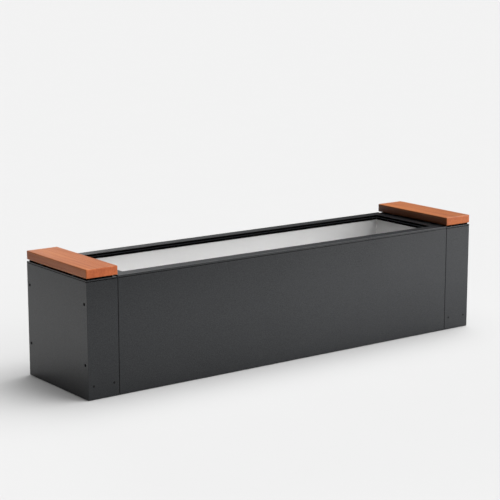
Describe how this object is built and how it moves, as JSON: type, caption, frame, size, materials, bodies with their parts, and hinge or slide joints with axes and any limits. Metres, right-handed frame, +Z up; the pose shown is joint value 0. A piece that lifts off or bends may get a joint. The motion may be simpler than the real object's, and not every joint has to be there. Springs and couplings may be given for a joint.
{
  "type": "bench with planter",
  "caption": "Long sheet-steel planter box with a lift-out galvanised liner, a stepped rim and a wooden seat board across each end; bolts end to end with bench modules.",
  "frame": {"origin": "on the ground, under the middle of the module", "axes": "+X along the module's length, towards the link face on the right; +Y from the front panel to the rear panel; +Z up"},
  "size_m": [1.75, 0.405, 0.45],
  "materials": {
    "coated_steel": "dark grey fine-textured powder coat, satin",
    "galvanised_steel": "hot-dip galvanised sections, dull",
    "liner_zinc": "galvanised sheet, light grey, matt",
    "seat_wood": "orange-brown oiled hardwood, fine grain",
    "rubber_black": "matt black",
    "foot_plastic": "black moulded",
    "zinc_plated": "zinc plated",
    "stainless": "stainless, satin",
    "dark_screw": "black finished"
  },
  "bodies": {
    "box_and_seats": {"bearer_screws": "zinc_plated", "board_bolts": "zinc_plated", "board_inserts": "zinc_plated", "board_spacers": "rubber_black", "cladding_rivet_nuts": "zinc_plated", "cladding_screws": "dark_screw", "cross_bearers": "galvanised_steel", "foot_lock_nuts": "zinc_plated", "foot_weld_nuts": "zinc_plated", "frame_bolts": "zinc_plated", "frame_nuts": "zinc_plated", "front_panel": "coated_steel", "leg_base_plate_left": "coated_steel", "leg_base_plate_right": "coated_steel", "leg_cap_left": "coated_steel", "leg_cap_right": "coated_steel", "leg_cladding_left": "coated_steel", "leg_cladding_right": "coated_steel", "leg_frame_left": "coated_steel", "leg_frame_right": "coated_steel", "liner_pads": "rubber_black", "mid_posts": "galvanised_steel", "panel_screws": "zinc_plated", "rear_panel": "coated_steel", "rim_frame": "coated_steel", "rim_nuts": "zinc_plated", "rim_screws": "zinc_plated", "seat_board_left": "seat_wood", "seat_board_right": "seat_wood", "side_rail_front": "galvanised_steel", "side_rail_rear": "galvanised_steel", "top_angle_front": "galvanised_steel", "top_angle_left": "galvanised_steel", "top_angle_rear": "galvanised_steel", "top_angle_right": "galvanised_steel"},
    "liner_unit": {"liner_floor": "liner_zinc", "liner_wall_front": "liner_zinc", "liner_wall_rear": "liner_zinc", "liner_wall_left": "liner_zinc", "liner_wall_right": "liner_zinc", "liner_trim_frame": "coated_steel", "drain_spigots": "liner_zinc", "drain_strainers": "stainless", "lifting_lugs": "liner_zinc"},
    "foot_front_left": {"foot_pad_front_left": "foot_plastic", "foot_stem_front_left": "zinc_plated"},
    "foot_front_right": {"foot_pad_front_right": "foot_plastic", "foot_stem_front_right": "zinc_plated"},
    "foot_rear_left": {"foot_pad_rear_left": "foot_plastic", "foot_stem_rear_left": "zinc_plated"},
    "foot_rear_right": {"foot_pad_rear_right": "foot_plastic", "foot_stem_rear_right": "zinc_plated"}
  },
  "joints": [
    {"name": "liner_lift", "type": "slide", "parent": "box_and_seats", "child": "liner_unit", "axis": [0, 0, 1], "range_m": [0, 0.42]},
    {"name": "foot_front_left_screw_down", "type": "slide", "parent": "box_and_seats", "child": "foot_front_left", "axis": [0, 0, -1], "range_m": [0, 0.02]},
    {"name": "foot_front_right_screw_down", "type": "slide", "parent": "box_and_seats", "child": "foot_front_right", "axis": [0, 0, -1], "range_m": [0, 0.02]},
    {"name": "foot_rear_left_screw_down", "type": "slide", "parent": "box_and_seats", "child": "foot_rear_left", "axis": [0, 0, -1], "range_m": [0, 0.02]},
    {"name": "foot_rear_right_screw_down", "type": "slide", "parent": "box_and_seats", "child": "foot_rear_right", "axis": [0, 0, -1], "range_m": [0, 0.02]}
  ]
}
